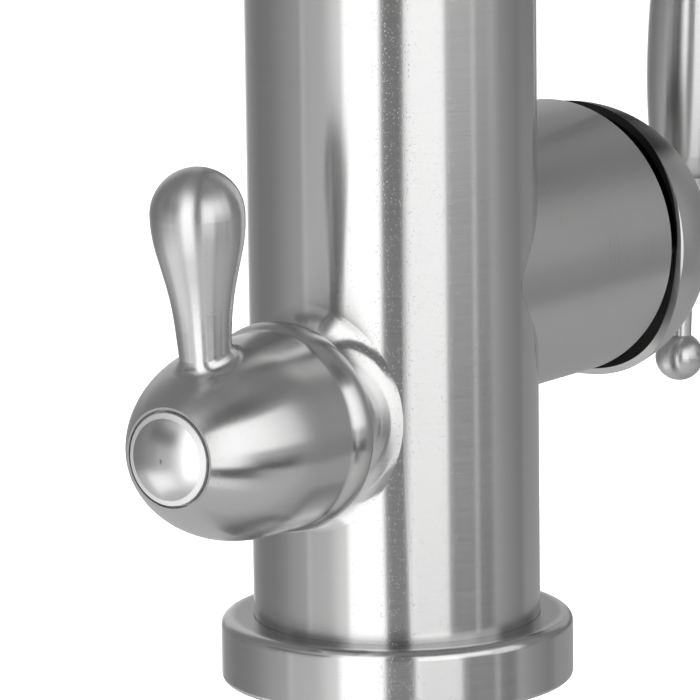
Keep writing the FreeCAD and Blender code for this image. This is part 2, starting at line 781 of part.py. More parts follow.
def make_dome():
    dome_r = d.dome_dia / 2
    inside_r = dome_r - d.dome_wall
    rim = d.dome_centre - d.dome_skirt
    post_r = d.post_dia / 2
    nose_r = d.nose_dia / 2
    spigot_r = d.spigot_dia / 2
    spigot_end = nose_end + d.spigot_length
    body = turned("mixer_dome", [
        (0, d.post_back), (post_r, d.post_back), (post_r, d.dome_centre + other_side(inside_r, post_r)),
        hollow(inside_r), (inside_r, d.dome_centre), (inside_r, rim),
        (dome_r - d.rim_chamfer, rim), (dome_r, rim + d.rim_chamfer), (dome_r, d.dome_centre),
        bulge(dome_r), (nose_r, d.dome_centre + other_side(dome_r, nose_r)), (nose_r, nose_end),
        (spigot_r, nose_end), (spigot_r, spigot_end), (0, spigot_end),
    ])
    sketch = new_sketch(body, "XZ_Plane", "Saddle")
    half = dome_r + d.dome_wall
    low = rim - d.dome_wall
    upper = rim + d.upper_relief - other_side(d.upper_relief, half)
    lower = rim + d.lower_relief - other_side(d.lower_relief, half)
    draw(sketch, [
        (-half, low), (half, low), (half, lower), hollow(d.lower_relief), (0, rim), hollow(d.upper_relief),
        (-half, upper),
    ])
    cut = body.newObject("PartDesign::Pocket", "Dome_Saddle")
    cut.Profile = sketch
    cut.SideType = "Symmetric"
    cut.Length = 3 * dome_r.value
    bind(cut, "Length", 3 * dome_r)
    socket = d.stem_square + 2 * d.fit_gap
    block(body, "Subtractive", "StemSocket", (socket, socket, d.stem_front - d.post_back + d.free_gap),
          0, 0, d.post_back)
    drill(body, "SetScrewHole", d.set_screw_dia / 2 + d.fit_gap, dome_r, 0, 0, d.set_screw_at, "+X")
    drill(body, "LeverScrewHole", d.lever_screw_dia / 2 + d.fit_gap, d.spigot_length, z=nose_end)
    put_on_handle(body)

    screw = plain_rod("dome_set_screw", d.set_screw_dia / 2, d.set_screw_length)
    hex_socket(screw, d.set_screw_dia / 4, d.set_screw_length / 2, d.set_screw_length / 2)
    start = d.stem_square / 2 + d.fit_gap
    place(screw,
          d.pivot_x + d.set_screw_at * cosine(d.rest_tilt) - start * sine(d.rest_tilt), 0,
          d.mixer_z - d.set_screw_at * sine(d.rest_tilt) - start * cosine(d.rest_tilt),
          angle=180 + d.rest_tilt)


def make_mixer_lever():
    hub_r = d.hub_dia / 2
    nose_r = d.nose_dia / 2
    socket_r = d.spigot_dia / 2 + d.fit_gap
    socket_end = nose_end + d.spigot_length + d.fit_gap
    back = nose_end + d.fit_gap
    head_r = d.screw_head_dia / 2 + d.fit_gap
    screw_r = d.lever_screw_dia / 2 + d.fit_gap
    face = d.hub_reach + other_side(hub_r, head_r)
    seat = face - d.screw_head_thick
    body = turned("mixer_lever", [
        (socket_r, back), (nose_r, back), (nose_r, d.hub_reach - other_side(hub_r, nose_r)), bulge(hub_r),
        (head_r, face), (head_r, seat), (screw_r, seat), (screw_r, socket_end), (socket_r, socket_end),
    ])
    belly_r = d.belly_dia / 2
    taper_x = d.belly_at + d.taper_round * sine(d.taper_angle)
    taper_y = belly_r - d.taper_round * (1 - cosine(d.taper_angle))
    tip_r = taper_y / cosine(d.taper_angle)
    end = taper_x - tip_r * sine(d.taper_angle) + tip_r
    lower_x = d.belly_at - d.lower_round * sine(d.lower_angle)
    lower_y = belly_r - d.lower_round * (1 - cosine(d.lower_angle))
    shoulder_x = lower_x - d.shoulder_round * (sine(d.shoulder_angle) - sine(d.lower_angle))
    shoulder_y = lower_y - d.shoulder_round * (cosine(d.lower_angle) - cosine(d.shoulder_angle))
    bead_r = d.bead_dia / 2
    bead_end = d.bead_at + d.bead_width
    start = socket_r + d.free_gap
    sketch = turn_outline(body, [
        (start, 0), (end, 0), bulge(tip_r), (taper_x, taper_y), bulge(d.taper_round), (d.belly_at, belly_r),
        bulge(d.lower_round), (lower_x, lower_y), bulge(d.shoulder_round), (shoulder_x, shoulder_y),
        (bead_end, shoulder_y), (bead_end, bead_r), (d.bead_at, bead_r), (d.bead_at, shoulder_y),
        (start, shoulder_y),
    ], "H_Axis", "Lever")
    sketch.AttachmentOffset = FreeCAD.Placement(
        FreeCAD.Vector(0, d.hub_reach.value, 0), FreeCAD.Rotation(FreeCAD.Vector(0, 0, 1), 180)
    )
    bind(sketch, "AttachmentOffset.Base.y", d.hub_reach)
    drill(body, "FinialSeat", d.finial_collar_dia / 2 + d.fit_gap, hub_r, d.finial_seat, 0, d.hub_reach, "+X")
    drill(body, "StudHole", d.stud_dia / 2 + d.fit_gap, hub_r, socket_r, 0, d.hub_reach, "+X")
    put_on_handle(body)

    grip = nose_end + d.free_gap
    radius = d.lever_screw_dia / 2
    head = d.screw_head_dia / 2
    screw = turned("lever_screw", [
        (0, grip), (radius, grip), (radius, seat), (head, seat), (head, face), (0, face),
    ])
    hex_socket(screw, head / 2, d.screw_head_thick / 2, face - d.screw_head_thick / 2)
    put_on_handle(screw)

    ball_r = d.finial_ball_dia / 2
    neck_r = d.finial_neck_dia / 2
    collar_r = d.finial_collar_dia / 2
    stud_r = d.stud_dia / 2
    collar_end = d.finial_seat + collar_r / 2
    finial = turned("finial", [
        (0, socket_r + d.free_gap), (stud_r, socket_r + d.free_gap), (stud_r, d.finial_seat),
        (collar_r, d.finial_seat), (collar_r, collar_end), (neck_r, collar_end + collar_r / 2),
        (neck_r, d.finial_reach - other_side(ball_r, neck_r)), bulge(ball_r), (ball_r, d.finial_reach),
        bulge(ball_r), (0, d.finial_reach + ball_r),
    ])
    place(finial, hub_x, 0, hub_z, angle=180 + d.rest_tilt)


# Filtered-water valve; these pieces have their own Z axis along -X, and their own X axis upwards

def put_on_valve(body):
    place(body, z=d.filter_z, way="-X")


def make_filter_valve():
    block_r = d.block_dia / 2
    bore_r = d.block_bore_dia / 2
    body = turned("filter_valve_block", [
        (0, d.block_start), (block_r, d.block_start), (block_r, d.block_end), (bore_r, d.block_end),
        (bore_r, block_floor), (0, block_floor),
    ])
    drill(body, "FeedSeat", pipe_r + d.fit_gap, d.pipe_seat, -block_r, 0, d.feed_x, "+X")
    drill(body, "FeedWay", d.seat_hole_dia / 2, block_r, -block_r, 0, d.feed_x, "+X")
    drill(body, "Seat", d.seat_hole_dia / 2, block_floor - d.feed_x, 0, 0, d.feed_x)
    drill(body, "RiserHole", pipe_r + d.fit_gap, block_r, 0, 0, riser_x, "+X")
    put_on_valve(body)

    seal_r = d.seat_seal_dia / 2
    put_on_valve(tube("filter_seat_seal", seal_r, d.seat_hole_dia / 2, block_floor, seal_end))

    outer_r = bore_r - d.fit_gap
    stem_r = spindle_r + d.fit_gap
    groove_r = spindle_r + d.fit_gap + d.oring_section
    groove_low = oring_at - d.oring_section / 2 - d.fit_gap
    groove_high = oring_at + d.oring_section / 2 + d.fit_gap
    flange_r = d.headwork_flange_dia / 2
    nose_r = d.headwork_nose_dia / 2
    flange_end = d.block_end + d.headwork_flange
    headwork_end = flange_end + d.headwork_nose
    headwork = turned("filter_headwork", [
        (chamber_r, seal_end), (outer_r, seal_end), (outer_r, d.block_end), (flange_r, d.block_end),
        (flange_r, flange_end), (nose_r, flange_end), (nose_r, headwork_end), (stem_r, headwork_end),
        (stem_r, groove_high), (groove_r, groove_high), (groove_r, groove_low), (stem_r, groove_low),
        (stem_r, valve_shoulder), (chamber_r, valve_shoulder),
    ])
    window_at = valve_moving_at + d.valve_disc_thick / 2
    drill(headwork, "Window", d.disc_hole_dia / 2, 2 * block_r, -block_r, 0, window_at, "+X")
    put_on_valve(headwork)
    ring_r = d.oring_section / 2
    put_on_valve(round_ring("spindle_oring", stem_r + ring_r, ring_r, oring_at))

    disc_r = d.valve_disc_dia / 2
    for label, low, across in (("filter_fixed_disc", seal_end, "x"), ("filter_moving_disc", valve_moving_at, "y")):
        disc = turned(label, [
            (0, low), (disc_r, low), (disc_r, low + d.valve_disc_thick), (0, low + d.valve_disc_thick),
        ])
        for number, side in ((1, 1), (2, -1)):
            spot = {across: side * d.disc_hole_at}
            drill(disc, f"Hole{number}", d.disc_hole_dia / 2, d.valve_disc_thick, z=low, **spot)
        put_on_valve(disc)

    screw_r = d.handle_screw_dia / 2
    thread_end = d.handle_screw_seat - d.handle_screw_grip - d.free_gap
    spindle = turned("filter_spindle", [
        (0, flange_at), (disc_r, flange_at), (disc_r, flange_at + d.flange_thick),
        (spindle_r, flange_at + d.flange_thick), (spindle_r, d.spindle_end), (screw_r + d.fit_gap, d.spindle_end),
        (screw_r + d.fit_gap, thread_end), (0, thread_end),
    ])
    put_on_valve(spindle)


def round_ring(label, centre_r, section_r, height):
    """O-ring as two half-round arcs."""
    return turned(label, [
        (centre_r + section_r, height), bulge(section_r), (centre_r, height + section_r), bulge(section_r),
        (centre_r - section_r, height), bulge(section_r), (centre_r, height - section_r), bulge(section_r),
    ])


def make_filter_handle():
    lip_r = d.lip_dia / 2
    lip_start = d.hub_back + d.lip_chamfer
    lip_start_r = lip_r - d.lip_round + other_side(d.lip_round, d.lip_at - lip_start)
    lip_end = d.lip_at + d.lip_round * sine(d.lip_angle)
    lip_end_r = lip_r - d.lip_round * (1 - cosine(d.lip_angle))
    bell_r = d.bell_dia / 2
    tip_r = d.tip_dia / 2
    bell_round = arc_radius(d.tip_at - d.bell_start, bell_r - tip_r)
    waist_round = (lip_end_r - bell_r) / (1 - cosine(d.lip_angle))
    waist_start = lip_end + waist_round * sine(d.lip_angle)
    hollow_r = d.hub_hollow_dia / 2
    hollow_end = d.hub_back + d.hub_hollow_depth
    foot_r = d.index_foot_dia / 2
    pocket_r = foot_r + d.fit_gap
    head_r = d.handle_screw_head_dia / 2 + d.fit_gap
    screw_r = d.handle_screw_dia / 2 + d.fit_gap
    socket_r = spindle_r + d.fit_gap
    socket_end = d.spindle_end + d.free_gap
    body = turned("filter_handle", [
        (hollow_r, d.hub_back), (lip_start_r - d.lip_chamfer, d.hub_back), (lip_start_r, lip_start),
        bulge(d.lip_round), (lip_end_r, lip_end), hollow(waist_round), (bell_r, waist_start),
        (bell_r, d.bell_start),
        bulge(bell_round), (tip_r, d.tip_at), (pocket_r, d.tip_at), (pocket_r, d.index_seat),
        (head_r, d.index_seat), (head_r, d.handle_screw_seat), (screw_r, d.handle_screw_seat),
        (screw_r, socket_end), (socket_r, socket_end), (socket_r, hollow_end), (hollow_r, hollow_end),
    ], "YZ_Plane")
    bulb_r = d.bulb_dia / 2
    taper_x = d.bulb_at - d.bulb_round * sine(d.bulb_angle)
    taper_y = bulb_r - d.bulb_round * (1 - cosine(d.bulb_angle))
    neck_x = taper_x - d.bulb_taper
    neck_y = taper_y - d.bulb_taper * tangent(d.bulb_angle)
    root_x = neck_x - d.neck_round * (sine(d.bulb_angle) - sine(d.neck_angle))
    root_y = neck_y - d.neck_round * (cosine(d.neck_angle) - cosine(d.bulb_angle))
    foot_y = root_y - (root_x - d.lever_root) * tangent(d.neck_angle)
    sketch = turn_outline(body, [
        (d.lever_root, 0), (d.bulb_at + bulb_r, 0), bulge(bulb_r), (d.bulb_at, bulb_r), bulge(d.bulb_round),
        (taper_x, taper_y), (neck_x, neck_y), hollow(d.neck_round), (root_x, root_y), (d.lever_root, foot_y),
    ], "H_Axis", "Lever")
    sketch.AttachmentOffset = FreeCAD.Placement(
        FreeCAD.Vector(0, d.lever_x.value, 0), FreeCAD.Rotation(FreeCAD.Vector(0, 0, 1), d.lever_lean.value)
    )
    bind(sketch, "AttachmentOffset.Base.y", d.lever_x)
    bind(sketch, "AttachmentOffset.Rotation.Angle", d.lever_lean)

    def on_lever_root(point):
        lean = math.radians(d.lever_lean.value)
        along = point.x * math.cos(lean) + (point.z - d.lever_x.value) * math.sin(lean)
        across = (point.z - d.lever_x.value) * math.cos(lean) - point.x * math.sin(lean)
        from_axis = math.hypot(point.y, across)
        return along > d.lever_root.value and from_axis < bulb_r.value and near_bell(point)

    def near_bell(point):
        return math.hypot(point.x, point.y) < bell_r.value + 0.01

    fillet_where(body, "LeverRoot", d.root_fillet, on_lever_root)
    put_on_valve(body)

    cap_r = d.index_dia / 2
    foot_end = d.index_seat + d.index_foot
    ring_in = cap_r - d.index_ring
    ring_top = d.index_front + d.index_bevel
    cap = turned("index_cap", [
        (0, d.index_seat), (foot_r, d.index_seat), (foot_r, foot_end), (cap_r, foot_end),
        (cap_r, d.index_front - d.index_edge), bulge(d.index_edge), (cap_r - d.index_edge, d.index_front),
        (ring_in, ring_top), bulge(arc_radius(ring_in, d.index_rise)), (0, ring_top + d.index_rise),
    ])
    put_on_valve(cap)

    head = d.handle_screw_head_dia / 2
    radius = d.handle_screw_dia / 2
    start = d.handle_screw_seat - d.handle_screw_grip
    top = d.handle_screw_seat + d.handle_screw_head
    screw = turned("handle_screw", [
        (0, start), (radius, start), (radius, d.handle_screw_seat), (head, d.handle_screw_seat),
        (head, top), (0, top),
    ])
    hex_socket(screw, head / 2, d.handle_screw_head / 2, top - d.handle_screw_head / 2)
    put_on_valve(screw)


# Spout and its swivel

def make_swivel():
    nipple_r = d.nipple_dia / 2
    nipple_top = cup_floor + d.nipple_height
    body = turned("top_insert", [
        (0, insert_bottom), (inner_r, insert_bottom), (inner_r, insert_top), (cup_r, insert_top),
        (cup_r, cup_floor), (nipple_r, cup_floor), (nipple_r, nipple_top), (0, nipple_top),
    ])
    channel_z = insert_bottom + d.channel_rise
    channel_r = d.channel_dia / 2
    drill(body, "MixedSeat", mixed_r + d.fit_gap, d.pipe_seat, d.supply_x, 0, insert_bottom)
    drill(body, "MixedWay", channel_r, d.channel_rise, d.supply_x, 0, insert_bottom)
    drill(body, "MixedCross", channel_r, d.cup_port_x - d.supply_x, d.supply_x, 0, channel_z, "+X")
    drill(body, "MixedPort", channel_r, cup_floor - channel_z, d.cup_port_x, 0, channel_z)
    drill(body, "RiserSeat", pipe_r + d.fit_gap, d.pipe_seat, -riser_x, 0, insert_bottom)
    drill(body, "RiserWay", channel_r, d.channel_rise, -riser_x, 0, insert_bottom)
    drill(body, "RiserCross", channel_r, riser_x, -riser_x, 0, channel_z, "+X")
    drill(body, "NippleWay", channel_r, nipple_top - channel_z, 0, 0, channel_z)
    socket_low = nipple_top - d.nipple_socket
    drill(body, "NippleSocket", inner_tube_r + d.fit_gap, d.nipple_socket, 0, 0, socket_low)

    bush_bore = spout_r + d.fit_gap
    for label, low in (("swivel_bush_lower", lower_bush_at), ("swivel_bush_upper", upper_bush_at)):
        tube(label, cup_r - d.fit_gap, bush_bore, low, low + d.bush_height)

    cap_bore = spout_r + 2 * d.fit_gap
    neck_r = d.cap_neck_dia / 2
    band_top = d.column_height + d.cap_band
    neck_low = cap_top - d.cap_neck
    cap = turned("shoulder_cap", [
        (cap_bore, d.column_height - d.cap_skirt), (inner_r, d.column_height - d.cap_skirt),
        (inner_r, d.column_height), (column_r, d.column_height), (column_r, band_top),
        bulge(arc_radius(neck_low - band_top, column_r - neck_r)), (neck_r, neck_low), (neck_r, cap_top),
        (cap_bore, cap_top),
    ])
    groove_r = spout_r - d.grub_depth
    grub_start = groove_r + d.free_gap
    grub_length = column_r - grub_start
    drill(cap, "GrubHole", d.grub_dia / 2 + d.fit_gap, column_r, 0, 0, grub_z, "+Y")
    grub = plain_rod("spout_grub_screw", d.grub_dia / 2, grub_length - d.column_wall)
    hex_socket(grub, d.grub_dia / 4, d.grub_dia / 2, grub_length - d.column_wall - d.grub_dia / 2)
    place(grub, 0, grub_start, grub_z, "+Y")


def make_spout():
    tail_bore = d.tail_bore_dia / 2
    ring_r = d.spout_oring_section / 2
    ring_centre = cup_r - d.fit_gap - ring_r
    ring_groove = ring_centre - ring_r - d.fit_gap
    grub_half = d.grub_dia / 2 + d.free_gap
    outline = [(tail_bore, tail_bottom), (spout_r, tail_bottom)]
    for middle in (lower_oring_at, upper_oring_at):
        low, high = middle - ring_r - d.fit_gap, middle + ring_r + d.fit_gap
        outline += [(spout_r, low), (ring_groove, low), (ring_groove, high), (spout_r, high)]
    grub_groove = spout_r - d.grub_depth
    low, high = grub_z - grub_half, grub_z + grub_half
    outline += [(spout_r, low), (grub_groove, low), (grub_groove, high), (spout_r, high)]
    spigot_r = spout_bore_r - d.fit_gap
    spigot_end = spout_start + d.tail_spigot
    outline += [(spout_r, spout_start), (spigot_r, spout_start), (spigot_r, spigot_end), (tail_bore, spigot_end)]
    turned("spout_tail", outline)
    for label, middle in (("spout_oring_lower", lower_oring_at), ("spout_oring_upper", upper_oring_at)):
        round_ring(label, ring_centre, ring_r, middle)

    collar_r = d.collar_dia / 2
    collar_top = spout_start + d.collar_height
    turned("spout_collar", [
        (spout_r + d.fit_gap, spout_start), (collar_r, spout_start), (collar_r, collar_top - d.collar_round),
        bulge(d.collar_round), (collar_r - d.collar_round, collar_top), (spout_r + d.fit_gap, collar_top),
    ])
    swept("spout_tube", spout_r, spout_bore_r, spout_start, spout_end)
    nipple_top = cup_floor + d.nipple_height
    tube_start = nipple_top - d.nipple_socket + d.free_gap
    bore_r = inner_tube_r - d.inner_tube_wall
    swept("inner_filter_tube", inner_tube_r, bore_r, tube_start, tip_top - d.outlet_tip_socket + d.free_gap)


def swept(label, outer, bore, low, high):
    """Tube along the swan neck: straight up from low, over the bend, and straight down to high."""
    body = new_body(label)
    section = new_sketch(body, "XY_Plane", "Section")
    section.AttachmentOffset = FreeCAD.Placement(FreeCAD.Vector(0, 0, low.value), FreeCAD.Rotation())
    bind(section, "AttachmentOffset.Base.z", low)
    centre = FreeCAD.Vector(0, 0, 0)
    axis = FreeCAD.Vector(0, 0, 1)
    section.addGeometry([Part.Circle(centre, axis, radius.value) for radius in (outer, bore)], False)
    rules = [Sketcher.Constraint("Coincident", edge, 3, -1, 1) for edge in (0, 1)]
    rules += [Sketcher.Constraint("Radius", edge, radius.value) for edge, radius in enumerate((outer, bore))]
    section.addConstraint(rules)
    bind(section, "Constraints[2]", outer)
    bind(section, "Constraints[3]", bore)
    path = new_sketch(body, "YZ_Plane", "Path")
    top = bend_start + d.bend_radius
    draw(path, [
        (0, low), (0, bend_start), bulge(d.bend_radius), (-d.bend_radius, top), bulge(d.bend_radius),
        (-reach, bend_start), (-reach, high),
    ], closed=False)
    sweep = body.newObject("PartDesign::AdditivePipe", f"{label}_Sweep")
    sweep.Profile = section
    sweep.Spine = (path, [])
    return body


def make_outlet():
    nozzle_r = d.nozzle_dia / 2
    bore_r = d.nozzle_bore_dia / 2
    spigot_r = spout_bore_r - d.fit_gap
    spigot_bore = spigot_r - d.nozzle_spigot_wall
    spigot_top = nozzle_top + d.nozzle_spigot
    edge = d.nozzle_round
    nozzle = turned("nozzle_housing", [
        (bore_r, nozzle_bottom), (nozzle_r - edge, nozzle_bottom), bulge(edge), (nozzle_r, nozzle_bottom + edge),
        (nozzle_r, nozzle_top), (spigot_r, nozzle_top), (spigot_r, spigot_top), (spigot_bore, spigot_top),
        (spigot_bore, ledge), (bore_r, ledge),
    ])
    insert_r = bore_r - d.fit_gap
    insert_top = aerator_bottom + d.aerator_height
    plate_low = aerator_bottom + d.aerator_plate_at
    plate_top = plate_low + d.aerator_plate
    rim_r = insert_r - d.aerator_rim
    hole_r = d.outlet_tip_dia / 2 + d.fit_gap
    insert = turned("aerator_insert", [
        (rim_r, aerator_bottom), (insert_r, aerator_bottom), (insert_r, insert_top), (rim_r, insert_top),
        (rim_r, plate_top), (hole_r, plate_top), (hole_r, plate_low), (rim_r, plate_low),
    ])
    doc.recompute()
    hole = drill(insert, "Jet", d.aerator_hole_dia / 2, d.aerator_plate, (rim_r + hole_r) / 2, 0, plate_low)
    pattern = insert.newObject("PartDesign::PolarPattern", "Aerator_Jets")
    pattern.Originals = [hole]
    pattern.Axis = (next(item for item in insert.Origin.OriginFeatures if item.Role == "Z_Axis"), [""])
    pattern.Angle = 360
    pattern.Occurrences = int(d.aerator_holes.value)
    bind(pattern, "Occurrences", d.aerator_holes)
    insert.Tip = pattern
    washer = tube("aerator_washer", insert_r, rim_r, insert_top, ledge)
    tip_bore = inner_tube_r - d.inner_tube_wall
    tip_socket = tip_top - d.outlet_tip_socket
    tip = turned("filter_nozzle", [
        (tip_bore, aerator_bottom), (hole_r - d.fit_gap, aerator_bottom), (hole_r - d.fit_gap, tip_top),
        (inner_tube_r + d.fit_gap, tip_top), (inner_tube_r + d.fit_gap, tip_socket), (tip_bore, tip_socket),
    ])
    for body in (nozzle, insert, washer, tip):
        place(body, 0, -reach)


make_base_ring()
make_column()
make_deck_fixing()
make_manifold_and_pipes()
make_cartridge()
make_stem()
make_dome()
make_mixer_lever()
make_filter_valve()
make_filter_handle()
make_swivel()
make_spout()
make_outlet()
doc.recompute()

# Nothing is written unless every feature and every solid is sound
for item in doc.Objects:
    if "Invalid" in item.State or "Error" in item.State:
        raise RuntimeError(f"{item.Name} failed: {item.State}")
for body in pieces:
    shape = body.Shape
    if shape.isNull() or not shape.isValid() or len(shape.Solids) != 1:
        raise RuntimeError(f"{body.Label} is not one sound solid")
os.makedirs("parts", exist_ok=True)
for body in pieces:
    body.Shape.exportStep(f"parts/{body.Label}.step")
    print(f"{body.Label}: {body.Shape.Volume:.1f} mm3")
print(f"{len(pieces)} pieces")
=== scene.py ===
import json
import math

import bmesh
import bpy
from mathutils import Matrix, Vector


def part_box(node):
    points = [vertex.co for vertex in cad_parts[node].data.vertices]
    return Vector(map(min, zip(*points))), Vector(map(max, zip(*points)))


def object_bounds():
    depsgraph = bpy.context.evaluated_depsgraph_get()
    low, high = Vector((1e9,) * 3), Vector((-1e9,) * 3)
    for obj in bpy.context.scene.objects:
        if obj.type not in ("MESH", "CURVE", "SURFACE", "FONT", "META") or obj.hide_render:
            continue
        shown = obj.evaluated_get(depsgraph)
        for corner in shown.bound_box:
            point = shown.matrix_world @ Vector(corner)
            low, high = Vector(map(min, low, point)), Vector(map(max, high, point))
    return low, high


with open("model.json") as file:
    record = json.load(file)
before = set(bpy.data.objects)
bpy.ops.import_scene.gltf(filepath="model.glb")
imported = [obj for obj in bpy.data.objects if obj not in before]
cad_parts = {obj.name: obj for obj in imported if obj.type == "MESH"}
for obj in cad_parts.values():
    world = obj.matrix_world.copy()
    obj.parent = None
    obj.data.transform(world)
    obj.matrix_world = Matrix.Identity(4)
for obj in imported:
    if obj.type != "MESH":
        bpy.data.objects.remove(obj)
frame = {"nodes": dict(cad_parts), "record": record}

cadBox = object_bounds()  # the CAD model's own box
nodes = frame["nodes"]
print("loaded", len(nodes), "solids")


# camera, fitted to the outlines of the column, base ring, stub, hub and end cap
photoCamera = {
    "azimuth": -54.995,  # degrees, 0 looks along +Y
    "elevation": 10.338,
    "roll": 0.75,
    "focal": 5343.6,  # pixels
    "distance": 0.8259,  # metres to the aim point
    "aim": (0, 0, 0.08702),
    "aimAt": (391.438, 125.362),  # pixel where the aim point falls
    "frame": 700,
    "sensor": 36,
    "clip": (0.01, 100),
}


def towards(azimuth, elevation):  # the way from the object to something at these angles, in degrees
    az, el = math.radians(azimuth), math.radians(elevation)
    return Vector((math.sin(az) * math.cos(el), -math.cos(az) * math.cos(el), math.sin(el)))


def makeCamera(c):
    az, roll = math.radians(c["azimuth"]), math.radians(c["roll"])
    back = towards(c["azimuth"], c["elevation"])
    level = Vector((math.cos(az), math.sin(az), 0))
    upright = back.cross(level)
    right = math.cos(roll) * level - math.sin(roll) * upright
    up = math.cos(roll) * upright + math.sin(roll) * level
    perPixel = c["distance"] / c["focal"]
    offX, offY = c["aimAt"][0] - c["frame"] / 2, c["frame"] / 2 - c["aimAt"][1]
    place = Vector(c["aim"]) + back * c["distance"] - right * offX * perPixel - up * offY * perPixel
    data = bpy.data.cameras.new("photoCamera")
    data.sensor_width = c["sensor"]
    data.lens = c["focal"] / c["frame"] * c["sensor"]
    data.clip_start, data.clip_end = c["clip"]
    camera = bpy.data.objects.new("photoCamera", data)
    camera.matrix_world = Matrix.Translation(place) @ Matrix((right, up, back)).transposed().to_4x4()
    bpy.context.scene.collection.objects.link(camera)
    bpy.context.scene.camera = camera


makeCamera(photoCamera)
print("camera set")


# small helpers for node trees
def add(tree, kind, **settings):
    node = tree.nodes.new(kind)
    for key, value in settings.items():
        setattr(node, key, value)
    return node


def put(tree, socket, value):
    if isinstance(value, bpy.types.NodeSocket):
        tree.links.new(value, socket)
    else:
        socket.default_value = value


def maths(tree, operation, *values):
    node = add(tree, "ShaderNodeMath", operation=operation)
    for socket, value in zip(node.inputs, values):
        put(tree, socket, value)
    return node.outputs[0]


def shadeRamp(tree, factor, stops):
    node = add(tree, "ShaderNodeValToRGB")
    elements = node.color_ramp.elements
    while len(elements) < len(stops):
        elements.new(0.5)
    for element, (at, shade) in zip(elements, stops):
        element.position = at
        element.color = (shade, shade, shade, 1)
    put(tree, node.inputs[0], factor)
    return node.outputs[0]


def spread(tree, value, low, high):  # 0..1 to low..high
    node = add(tree, "ShaderNodeMapRange")
    put(tree, node.inputs["Value"], value)
    node.inputs["To Min"].default_value = low
    node.inputs["To Max"].default_value = high
    return node.outputs[0]


def softStep(tree, value, low, high, first=0, last=1):  # eases from first to last between low and high
    node = add(tree, "ShaderNodeMapRange", interpolation_type="SMOOTHSTEP")
    put(tree, node.inputs["Value"], value)
    for label, number in (("From Min", low), ("From Max", high), ("To Min", first), ("To Max", last)):
        node.inputs[label].default_value = number
    return node.outputs[0]


def noise(tree, vector, scale, detail, rough):
    node = add(tree, "ShaderNodeTexNoise")
    put(tree, node.inputs["Vector"], vector)
    node.inputs["Scale"].default_value = scale
    node.inputs["Detail"].default_value = detail
    node.inputs["Roughness"].default_value = rough
    return node.outputs[0]


def mapped(tree, vector, scale=(1, 1, 1), turn=(0, 0, 0), move=(0, 0, 0)):
    node = add(tree, "ShaderNodeMapping")
    put(tree, node.inputs["Vector"], vector)
    node.inputs["Scale"].default_value = scale
    node.inputs["Rotation"].default_value = turn
    node.inputs["Location"].default_value = move
    return node.outputs[0]


def centred(tree, where, centre):
    return mapped(tree, where, move=tuple(-Vector(centre)))


def awayFrom(tree, where, centre, keep):  # distance from a point, or from an axis that keep leaves out
    length = add(tree, "ShaderNodeVectorMath", operation="LENGTH")
    put(tree, length.inputs[0], mapped(tree, centred(tree, where, centre), scale=keep))
    return length.outputs["Value"]


def splitVector(tree, vector):
    split = add(tree, "ShaderNodeSeparateXYZ")
    put(tree, split.inputs[0], vector)
    return split.outputs


def blendColour(tree, factor, first, second):
    node = add(tree, "ShaderNodeMix", data_type="RGBA")
    put(tree, node.inputs[0], factor)
    put(tree, node.inputs[6], (*first, 1) if isinstance(first, tuple) else first)
    put(tree, node.inputs[7], (*second, 1) if isinstance(second, tuple) else second)
    return node.outputs[2]


def pickVector(tree, factor, first, second):
    pick = add(tree, "ShaderNodeMix", data_type="VECTOR")
    put(tree, pick.inputs[0], factor)
    put(tree, pick.inputs[4], first)
    put(tree, pick.inputs[5], second)
    return pick.outputs[1]


def newGroup(name, inputs, outputs):
    group = bpy.data.node_groups.new(name, "ShaderNodeTree")
    for label, kind in inputs:
        group.interface.new_socket(label, in_out="INPUT", socket_type=kind)
    for label, kind in outputs:
        group.interface.new_socket(label, in_out="OUTPUT", socket_type=kind)
    return group, group.nodes.new("NodeGroupInput"), group.nodes.new("NodeGroupOutput")


# fine turning lines: the vector comes in already stretched along the lines
lineNoise = {
    "fine": (1, 3, 0.6),  # scale, detail and roughness
    "wide": (0.22, 2, 0.5),
    "fineShare": 0.6,
}


def makeBrushGroup(look):
    group, given, made = newGroup(
        "turningLines",
        [("Strokes", "NodeSocketVector")],
        [("Height", "NodeSocketFloat"), ("Tone", "NodeSocketFloat")],
    )
    fine = noise(group, given.outputs[0], *look["fine"])
    wide = noise(group, given.outputs[0], *look["wide"])
    finePart = maths(group, "MULTIPLY", fine, look["fineShare"])
    widePart = maths(group, "MULTIPLY", wide, 1 - look["fineShare"])
    put(group, made.inputs[0], maths(group, "ADD", finePart, widePart))
    put(group, made.inputs[1], fine)
    return group


# sparse little pits and handling marks, 1 in the middle of a mark
pitSize = {"least": 0.15, "more": 0.25}  # in cells


def makeMarkGroup(look):
    group, given, made = newGroup(
        "handlingMarks",
        [("Vector", "NodeSocketVector"), ("Scale", "NodeSocketFloat"), ("Share", "NodeSocketFloat")],
        [("Mask", "NodeSocketFloat")],
    )
    cells = add(group, "ShaderNodeTexVoronoi", feature="F1")
    put(group, cells.inputs["Vector"], given.outputs[0])
    put(group, cells.inputs["Scale"], given.outputs[1])
    cells.inputs["Randomness"].default_value = 1
    split = add(group, "ShaderNodeSeparateColor")
    put(group, split.inputs[0], cells.outputs["Color"])
    chosen = maths(group, "LESS_THAN", split.outputs[0], given.outputs[2])
    size = maths(group, "MULTIPLY_ADD", split.outputs[1], look["more"], look["least"])
    fall = maths(group, "DIVIDE", cells.outputs["Distance"], size)
    inside = softStep(group, fall, 0, 1, 1, 0)
    put(group, made.inputs[0], maths(group, "MULTIPLY", chosen, inside))
    return group


brushGroup = makeBrushGroup(lineNoise)
markGroup = makeMarkGroup(pitSize)


